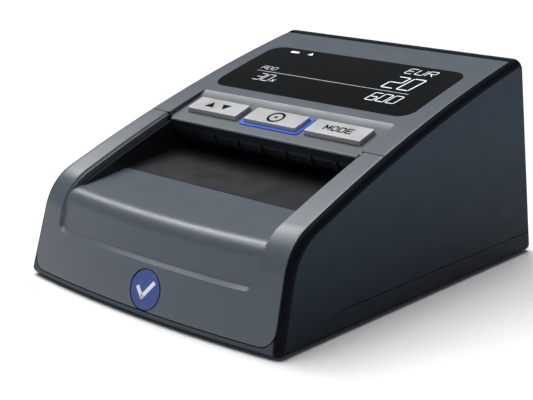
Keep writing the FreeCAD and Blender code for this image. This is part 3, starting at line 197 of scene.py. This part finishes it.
def write(bm, text, middle, size, gap, stroke, place, slant=0.0, segments=True, lift=0.0):
    """Draws a row of generic display or key characters about a middle point."""
    width, height = size
    total = len(text) * width + (len(text) - 1) * gap
    for index, letter in enumerate(text):
        left = middle[0] - total / 2 + index * (width + gap)

        def spot(point):
            y = point[1] * height - height / 2
            return Vector((left + point[0] * width + y * slant, middle[1] + y))

        for path in GLYPHS[letter]:
            for a, b in zip(path, path[1:]):
                trim = stroke * 0.12 if segments else -stroke * 0.4
                outline = bar_outline(spot(a), spot(b), stroke, segments, trim)
                prism(bm, outline, place, lift, lift + FILM)


def piece(name, bm, body, material):
    """Turns a bmesh into a named piece that rides on a body."""
    bmesh.ops.recalc_face_normals(bm, faces=bm.faces)
    mesh = bpy.data.meshes.new(name)
    bm.to_mesh(mesh)
    bm.free()
    obj = bpy.data.objects.new(name, mesh)
    bpy.context.scene.collection.objects.link(obj)
    mesh.materials.append(material)
    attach(obj, body)


# ---------------------------------------------------------------- materials
class Nodes:
    """A small builder for one material's node tree."""

    def __init__(self, name):
        self.material = bpy.data.materials.new(name)
        self.material.use_nodes = True
        self.tree = self.material.node_tree
        self.tree.nodes.clear()
        self.shader = self.add("ShaderNodeBsdfPrincipled")
        output = self.add("ShaderNodeOutputMaterial")
        self.link(self.shader, "BSDF", output, "Surface")
        self.coords = self.add("ShaderNodeTexCoord")

    def add(self, kind, **settings):
        node = self.tree.nodes.new(kind)
        for key, value in settings.items():
            setattr(node, key, value)
        return node

    def link(self, source, output, target, socket):
        self.tree.links.new(source.outputs[output], target.inputs[socket])

    def noise(self, scale, detail=4.0, stretch=(1, 1, 1)):
        mapping = self.add("ShaderNodeMapping")
        mapping.inputs["Scale"].default_value = stretch
        self.link(self.coords, "Object", mapping, "Vector")
        noise = self.add("ShaderNodeTexNoise")
        noise.inputs["Scale"].default_value = scale
        noise.inputs["Detail"].default_value = detail
        self.link(mapping, "Vector", noise, "Vector")
        return noise

    def ramp(self, source, output, low, high, out_low, out_high):
        """Maps a value range onto another range."""
        node = self.add("ShaderNodeMapRange")
        node.inputs["From Min"].default_value = low
        node.inputs["From Max"].default_value = high
        node.inputs["To Min"].default_value = out_low
        node.inputs["To Max"].default_value = out_high
        self.link(source, output, node, "Value")
        return node

    def separate(self, source, output):
        """Splits a vector into X, Y and Z."""
        node = self.add("ShaderNodeSeparateXYZ")
        self.link(source, output, node, "Vector")
        return node

    def multiply(self, first, second):
        node = self.add("ShaderNodeMath", operation="MULTIPLY")
        self.link(first, 0, node, 0)
        self.link(second, 0, node, 1)
        return node

    def base_colour(self):
        """The node that gives the surface its colour so far."""
        return self.shader.inputs["Base Color"].links[0].from_node

    def set_base_colour(self, node):
        self.tree.links.new(node.outputs[2], self.shader.inputs["Base Color"])

    def mix(self, factor, first, second):
        """Mixes two colours; each is a colour tuple or the node of an earlier mix."""
        node = self.add("ShaderNodeMix", data_type="RGBA")
        self.link(factor, 0, node, 0)
        for socket, value in ((6, first), (7, second)):
            if isinstance(value, tuple):
                node.inputs[socket].default_value = (*value, 1.0)
            else:
                self.tree.links.new(value.outputs[2], node.inputs[socket])
        return node

    def edges(self, radius, sharp):
        """About 1 along convex and concave edges and 0 on flat faces."""
        bevel = self.add("ShaderNodeBevel", samples=4)
        bevel.inputs["Radius"].default_value = radius
        geometry = self.add("ShaderNodeNewGeometry")
        dot = self.add("ShaderNodeVectorMath", operation="DOT_PRODUCT")
        self.link(bevel, "Normal", dot, 0)
        self.link(geometry, "Normal", dot, 1)
        return self.ramp(dot, "Value", 1.0, 1.0 - sharp, 0.0, 1.0)

    def bump(self, source, output, strength, distance, before=None):
        node = self.add("ShaderNodeBump")
        node.inputs["Strength"].default_value = strength
        node.inputs["Distance"].default_value = distance
        self.link(source, output, node, "Height")
        if before is not None:
            self.link(before, "Normal", node, "Normal")
        self.link(node, "Normal", self.shader, "Normal")
        return node


def shade(colour, factor):
    return tuple(min(1.0, c * factor) for c in colour)


def surface(name, colour, rough=0.5, metallic=0.0, variation=0.12, grain=2600.0, grain_bump=0.25,
            grain_colour=0.06, wear=0.35, wear_light=1.7, stretch=(1, 1, 1), coat=0.0,
            specular=0.5, rough_spread=0.08):
    """The common recipe: blotchy tone, fine grain, worn edges, uneven gloss and bump."""
    n = Nodes(name)
    broad = n.noise(38.0, 5.0)
    tone = n.ramp(broad, "Fac", 0.3, 0.7, 0.0, 1.0)
    base = n.mix(tone, shade(colour, 1 - variation), shade(colour, 1 + variation))
    fine = n.noise(grain, 3.0, stretch)
    speck = n.ramp(fine, "Fac", 0.35, 0.65, 0.0, 1.0)
    grained = n.add("ShaderNodeMix", data_type="RGBA", blend_type="MULTIPLY")
    grained.inputs[0].default_value = 1.0
    n.tree.links.new(base.outputs[2], grained.inputs[6])
    dots = n.mix(speck, (1 - grain_colour,) * 3, (1.0, 1.0, 1.0))
    n.tree.links.new(dots.outputs[2], grained.inputs[7])
    worn = n.edges(EDGE_WEAR_WIDTH, 0.25)
    rub = n.noise(420.0, 6.0)
    rubbed = n.ramp(rub, "Fac", 0.38, 0.68, 0.0, wear)
    n.set_base_colour(n.mix(n.multiply(worn, rubbed), grained, shade(colour, wear_light)))
    smudge = n.noise(140.0, 6.0)
    gloss = n.ramp(smudge, "Fac", 0.3, 0.7, rough - rough_spread, rough + rough_spread)
    n.link(gloss, 0, n.shader, "Roughness")
    n.shader.inputs["Metallic"].default_value = metallic
    n.shader.inputs["Specular IOR Level"].default_value = specular
    n.shader.inputs["Coat Weight"].default_value = coat
    n.shader.inputs["Coat Roughness"].default_value = 0.08
    waves = n.bump(broad, "Fac", 0.15, 0.2 * MM)
    n.bump(fine, "Fac", grain_bump, 0.06 * MM, before=waves)
    return n


def in_key_recess(n):
    """1 where the lid lies below its curved top, as in the recess round the keys."""
    place = n.separate(n.coords, "Object")
    side = n.add("ShaderNodeCombineXYZ")
    n.link(place, "Y", side, "Y")
    n.link(place, "Z", side, "Z")
    reach = n.add("ShaderNodeVectorMath", operation="DISTANCE")
    reach.inputs[1].default_value = (0.0, TOP_CENTRE_Y, TOP_CENTRE_Z)
    n.link(side, "Vector", reach, 0)
    sunk = n.ramp(reach, "Value", TOP_RADIUS - 0.10 * MM, TOP_RADIUS - 1.20 * MM, 0.0, 1.0)
    on_lid = n.ramp(place, "Y", LID_FRONT_Y, LID_FRONT_Y + 1.0 * MM, 0.0, 1.0)
    return n.multiply(sunk, on_lid)


def cover_material():
    """Satin painted covers, matt in the key recess, which is also drawn darker as painted shade; faces
    that look down are drawn near black as painted shade.
    """
    n = surface("mat_cover_grey", COVER_GREY, rough=0.32, variation=0.02, grain=4200.0,
                grain_bump=0.20, grain_colour=0.10, wear=0.30, wear_light=1.6, rough_spread=0.03)
    normal = n.separate(n.add("ShaderNodeNewGeometry"), "Normal")
    recess = in_key_recess(n)
    # the key recess is drawn darker: painted shade
    base = n.mix(recess, n.base_colour(), RECESS_PAINTED_SHADE)
    # faces that look down are drawn near black: painted shade
    down_shade_mask = n.ramp(normal, "Z", -0.05, -0.20, 0.0, 1.0)
    n.set_base_colour(n.mix(down_shade_mask, base, UNDERSIDE_PAINTED_SHADE))
    gloss = n.shader.inputs["Roughness"].links[0].from_node
    matt = n.add("ShaderNodeMath", operation="MULTIPLY_ADD")
    n.link(recess, 0, matt, 0)
    matt.inputs[1].default_value = 0.22
    n.link(gloss, 0, matt, 2)
    n.link(matt, 0, n.shader, "Roughness")
    return n


def casing_material():
    """Textured dark plastic with painted light and shade: the sides darken towards the floor, faces that
    look forward are lighter, and the rolled edge between the sides and the top is near black as painted
    shade and dark reflection.
    """
    n = surface("mat_casing_dark", CASING_DARK, rough=0.54, variation=0.02, grain=3600.0,
                grain_bump=0.35, wear=0.25, wear_light=1.5, specular=0.09, rough_spread=0.04)
    normal = n.separate(n.add("ShaderNodeNewGeometry"), "Normal")
    sideways = n.add("ShaderNodeMath", operation="ABSOLUTE")
    n.link(normal, "X", sideways, 0)
    place = n.separate(n.coords, "Object")
    # the sides darken towards the floor: painted shade
    foot_shade_mask = n.ramp(place, "Z", 0.0, FOOT_SHADE_TOP, 0.92, 0.0)
    base = n.mix(n.multiply(foot_shade_mask, sideways), n.base_colour(), CASING_FOOT_PAINTED_SHADE)
    # faces that look forward are drawn lighter: painted light
    front_light_mask = n.ramp(normal, "Y", -0.75, -0.93, 0.0, 1.0)
    base = n.mix(front_light_mask, base, CASING_FRONT_PAINTED_LIGHT)
    # the rolled edge between sides and top is drawn near black: painted shade and dark reflection
    begins = n.ramp(sideways, 0, 0.20, 0.32, 0.0, 1.0)
    ends = n.ramp(sideways, 0, 0.985, 0.997, 1.0, 0.0)
    n.set_base_colour(n.mix(n.multiply(begins, ends), base, ROLLED_EDGE_PAINTED_SHADE))
    return n


def lens_material():
    return surface("mat_window_gloss", (0.0052, 0.0052, 0.0056), rough=0.06, variation=0.1,
                   grain=5000.0, grain_bump=0.01, wear=0.5, wear_light=6.0, specular=0.25,
                   rough_spread=0.02)


def glow_material(name, colour, strength):
    """A lit legend or light guide with a slightly uneven glow."""
    n = surface(name, colour, rough=0.35, variation=0.15, grain=1500.0, wear=0.2)
    lit = n.noise(300.0, 2.0)
    level = n.ramp(lit, "Fac", 0.3, 0.7, 0.85, 1.1)
    uneven = n.mix(level, shade(colour, 0.8), colour)
    n.tree.links.new(uneven.outputs[2], n.shader.inputs["Emission Color"])
    n.shader.inputs["Emission Strength"].default_value = strength
    return n


def board_material():
    """Solder resist with a faint pattern of tracks."""
    n = surface("mat_circuit_board", (0.012, 0.105, 0.040), rough=0.32, grain=1800.0, wear=0.2)
    mapping = n.add("ShaderNodeMapping")
    mapping.inputs["Scale"].default_value = (420, 420, 420)
    n.link(n.coords, "Object", mapping, "Vector")
    bricks = n.add("ShaderNodeTexBrick")
    bricks.inputs["Scale"].default_value = 1.0
    bricks.inputs["Mortar Size"].default_value = 0.06
    n.link(mapping, "Vector", bricks, "Vector")
    tracks = n.ramp(bricks, "Fac", 0.0, 1.0, 0.0, 0.55)
    n.set_base_colour(n.mix(tracks, n.base_colour(), TRACK_GREEN))
    return n


MATERIALS = {
    "casing_dark": casing_material(),
    "cover_grey": cover_material(),
    "badge_blue": surface("mat_badge_blue", (0.020, 0.054, 0.235), rough=0.32, coat=0.10, grain=2000.0),
    "rubber": surface("mat_rubber", (0.012, 0.012, 0.013), rough=0.68, grain=1400.0, grain_bump=0.6,
                      wear=0.5, wear_light=2.2, specular=0.35),
    "screw_steel": surface("mat_screw_steel", (0.50, 0.50, 0.51), rough=0.34, metallic=1.0,
                           grain=1800.0, stretch=(1, 6, 1)),
    "shaft_steel": surface("mat_shaft_steel", (0.62, 0.62, 0.63), rough=0.22, metallic=1.0,
                           grain=2600.0, stretch=(8, 1, 1)),
    "contact_metal": surface("mat_contact_metal", (0.60, 0.57, 0.49), rough=0.30, metallic=1.0),
    "label_silver": surface("mat_label_silver", (0.55, 0.56, 0.57), rough=0.38, metallic=0.6,
                            stretch=(1, 12, 1)),
    "battery_wrap": surface("mat_battery_wrap", (0.022, 0.075, 0.235), rough=0.30, coat=0.2, grain=900.0),
    "path_black": surface("mat_path_black", (0.0085, 0.0092, 0.0115), rough=0.36, grain=3000.0,
                          grain_bump=0.12, wear=0.4, wear_light=3.0, rough_spread=0.03),
    "sensor_glass": surface("mat_sensor_glass", (0.010, 0.020, 0.022), rough=0.06, coat=0.8,
                            grain_bump=0.01, rough_spread=0.02),
    "window_gloss": lens_material(),
    "inner_plastic": surface("mat_inner_plastic", (0.020, 0.021, 0.023), rough=0.52, grain=2200.0),
    "circuit_board": board_material(),
    "chip_black": surface("mat_chip_black", (0.016, 0.016, 0.018), rough=0.48, grain=1600.0),
    "port_black": surface("mat_port_black", (0.010, 0.010, 0.011), rough=0.38, grain=2400.0),
    "bush_white": surface("mat_bush_white", (0.66, 0.64, 0.58), rough=0.45, specular=0.4),
    "gear_white": surface("mat_gear_white", (0.70, 0.69, 0.64), rough=0.42, variation=0.05),
    "roller_grey": surface("mat_roller_grey", (0.085, 0.085, 0.09), rough=0.62, grain_bump=0.5),
    "light_blue": glow_material("mat_light_blue", (0.020, 0.080, 0.46), 0.30),
    "key_silver": surface("mat_key_silver", (0.42, 0.42, 0.425), rough=0.36, metallic=0.30,
                          variation=0.03, grain=3400.0, grain_bump=0.18, grain_colour=0.14,
                          wear=0.25, wear_light=1.35),
}
MARK_WHITE = glow_material("mat_display_lit", (0.72, 0.80, 0.86), 0.55)
MARK_DIM = glow_material("mat_display_dim", (0.55, 0.60, 0.64), 0.28)
INK = surface("mat_key_ink", (0.004, 0.0045, 0.006), rough=0.75, grain=2600.0, wear=0.1, specular=0.05)
BADGE_WHITE = surface("mat_badge_mark", (0.74, 0.77, 0.82), rough=0.30, grain=2600.0, wear=0.1)

for row in frame["record"]["subparts"]:
    obj = frame["nodes"][row["node"]]
    obj.data.materials.clear()
    obj.data.materials.append(MATERIALS[row["material_slot"]].material)


# ---------------------------------------------------------------- display
def write_rows(bm, rows):
    """Each row is a text, its middle, a character's size, the gap and the stroke width, in mm."""
    for text, middle, size, gap, stroke in rows:
        write(bm, text, mm(*middle), mm(*size), gap * MM, stroke * MM, on_lens,
              DISPLAY_SLANT, lift=LENS_LIFT)


def make_display():
    bright = bmesh.new()
    write_rows(bright, [
        ("20", (29.8, 32.2), (5.4, 10.2), 1.9, 0.56),
        ("600", (30.5, 18.9), (3.6, 6.2), 1.2, 0.40),
        ("EUR", (30.4, 43.3), (3.5, 4.6), 1.2, 0.36),
    ])
    piece("display_digits", bright, "lid", MARK_WHITE.material)

    dim = bmesh.new()
    write_rows(dim, [
        ("ADD", (-34.6, 27.6), (2.0, 2.6), 0.8, 0.34),
        ("30", (-30.6, 19.5), (3.3, 5.6), 1.1, 0.46),
        ("x", (-24.6, 17.9), (1.9, 2.3), 0.5, 0.42),
    ])
    start, end = DISPLAY_LINE_X
    low, high = DISPLAY_LINE_Y
    for i in range(DISPLAY_LINE_STEPS):
        x0 = start + (end - start) * i / DISPLAY_LINE_STEPS
        x1 = start + (end - start) * (i + 1) / DISPLAY_LINE_STEPS
        line = [mm(x0, low), mm(x1, low), mm(x1, high), mm(x0, high)]
        prism(dim, line, on_lens, LENS_LIFT, LENS_LIFT + FILM)
    piece("display_line_and_count", dim, "lid", MARK_DIM.material)

    signs = bmesh.new()
    battery = [mm(-37.8, 44.2), mm(-33.8, 44.2), mm(-33.8, 44.7), mm(-33.3, 44.7), mm(-33.3, 45.3),
               mm(-33.8, 45.3), mm(-33.8, 45.8), mm(-37.8, 45.8)]
    prism(signs, battery, on_lens, LENS_LIFT, LENS_LIFT + FILM)
    arrow = [mm(-28.4, 44.2), mm(-25.6, 44.2), mm(-27.0, 46.5)]
    prism(signs, arrow, on_lens, LENS_LIFT, LENS_LIFT + FILM)
    piece("display_signs", signs, "lid", MARK_WHITE.material)


def make_key_legends():
    arrows = bmesh.new()
    for x, way in zip(ARROW_XS, (1, -1)):
        left, right = x - ARROW_HALF_WIDTH, x + ARROW_HALF_WIDTH
        outline = [mm(left, ARROW_FOOT * way), mm(right, ARROW_FOOT * way), mm(x, ARROW_TIP * way)]
        if way < 0:
            outline.reverse()
        prism(arrows, outline, on_key, 0.0, FILM)
    piece("legend_up_down", arrows, "rocker", INK.material)

    target = bmesh.new()
    outer, inner = mm(*START_RING_RADII)
    ring(target, (0.0, 0.0), outer, inner, on_key, 0.0, FILM)
    dot = []
    for i in range(START_DOT_STEPS):
        turn = 2 * math.pi * i / START_DOT_STEPS
        dot.append(mm(START_DOT_RADIUS * math.cos(turn), START_DOT_RADIUS * math.sin(turn)))
    prism(target, dot, on_key, 0.0, FILM)
    piece("legend_start", target, "start", INK.material)

    word = bmesh.new()
    write(word, "MODE", (KEY_PITCH, 0.0), mm(2.3, 3.0), 1.05 * MM, 0.66 * MM, on_key,
          segments=False)
    piece("legend_mode", word, "mode", INK.material)


def make_badge_mark():
    """A plain check mark stands in for the maker's sign."""
    mark = bmesh.new()
    for start, end in (((-3.4, 0.3), (-1.0, -2.7)), ((-1.0, -2.7), (3.7, 3.0))):
        outline = bar_outline(mm(*start), mm(*end), 1.5 * MM, False, -0.55 * MM)
        prism(mark, outline, on_badge, 0.0, 0.10 * MM)
    piece("badge_check_mark", mark, "body", BADGE_WHITE.material)


make_display()
make_key_legends()
make_badge_mark()


# ---------------------------------------------------------------- floor, light and camera
def make_floor():
    bm = bmesh.new()
    bmesh.ops.create_grid(bm, x_segments=8, y_segments=8, size=4.0)
    mesh = bpy.data.meshes.new("floor")
    bm.to_mesh(mesh)
    bm.free()
    floor = bpy.data.objects.new("floor", mesh)
    bpy.context.scene.collection.objects.link(floor)
    n = surface("mat_floor", (0.86, 0.865, 0.87), rough=0.6, variation=0.01, grain=300.0, grain_bump=0.02,
                grain_colour=0.01, wear=0.0, specular=0.2)
    mesh.materials.append(n.material)


def area_light(name, place, target, size, power):
    data = bpy.data.lights.new(name, "AREA")
    data.shape = "RECTANGLE"
    data.size, data.size_y = size
    data.energy = power
    light = bpy.data.objects.new(name, data)
    bpy.context.scene.collection.objects.link(light)
    light.location = place
    light.rotation_mode = "QUATERNION"
    light.rotation_quaternion = (Vector(target) - Vector(place)).to_track_quat("-Z", "Y")
    light.visible_camera = False


def sun_light(towards, strength, spread):
    """Even light from a wide part of the sky, which keeps the whole floor pale."""
    data = bpy.data.lights.new("sky_patch", "SUN")
    data.energy = strength
    data.angle = math.radians(spread)
    light = bpy.data.objects.new("sky_patch", data)
    bpy.context.scene.collection.objects.link(light)
    light.rotation_mode = "QUATERNION"
    light.rotation_quaternion = Vector(towards).to_track_quat("Z", "Y")


def make_world():
    """A dim studio dome with a pale band round the horizon, so that low views stay pale."""
    world = bpy.data.worlds.new("studio")
    world.use_nodes = True
    tree = world.node_tree
    background = tree.nodes["Background"]
    background.inputs["Color"].default_value = (0.93, 0.96, 1.0, 1.0)
    coords = tree.nodes.new("ShaderNodeTexCoord")
    split = tree.nodes.new("ShaderNodeSeparateXYZ")
    tree.links.new(coords.outputs["Generated"], split.inputs["Vector"])
    band = tree.nodes.new("ShaderNodeMapRange")
    band.interpolation_type = "SMOOTHSTEP"
    band.inputs["From Min"].default_value = 0.12
    band.inputs["From Max"].default_value = 0.16
    band.inputs["To Min"].default_value = 0.92
    band.inputs["To Max"].default_value = 0.11
    tree.links.new(split.outputs["Z"], band.inputs["Value"])
    tree.links.new(band.outputs["Result"], background.inputs["Strength"])
    bpy.context.scene.world = world


def make_lights():
    sun_light((-0.25, 0.04, 1.0), 3.3, 60.0)
    area_light("key_left", (-0.83, 0.10, 1.0), (0, 0, 0.05), (0.4, 0.7), 5.2)


def make_camera():
    """Looks at the object from the front right, with a slight roll."""
    level = math.cos(CAMERA_ELEVATION)
    back = Vector((math.sin(CAMERA_AZIMUTH) * level, -math.cos(CAMERA_AZIMUTH) * level,
                   math.sin(CAMERA_ELEVATION)))
    right = (-back).cross(Vector((0, 0, 1))).normalized()
    up = right.cross(-back)
    turned_right = right * math.cos(CAMERA_ROLL) + up * math.sin(CAMERA_ROLL)
    turned_up = up * math.cos(CAMERA_ROLL) - right * math.sin(CAMERA_ROLL)
    data = bpy.data.cameras.new("camera")
    data.lens = CAMERA_LENS
    data.sensor_width = CAMERA_SENSOR
    data.shift_x, data.shift_y = CAMERA_SHIFT
    camera = bpy.data.objects.new("camera", data)
    bpy.context.scene.collection.objects.link(camera)
    axes = Matrix((turned_right, turned_up, back)).transposed().to_4x4()
    camera.matrix_world = Matrix.Translation(CAMERA_PLACE) @ axes
    bpy.context.scene.camera = camera


make_floor()
make_world()
make_lights()
make_camera()
bpy.context.scene.view_settings.view_transform = "Standard"
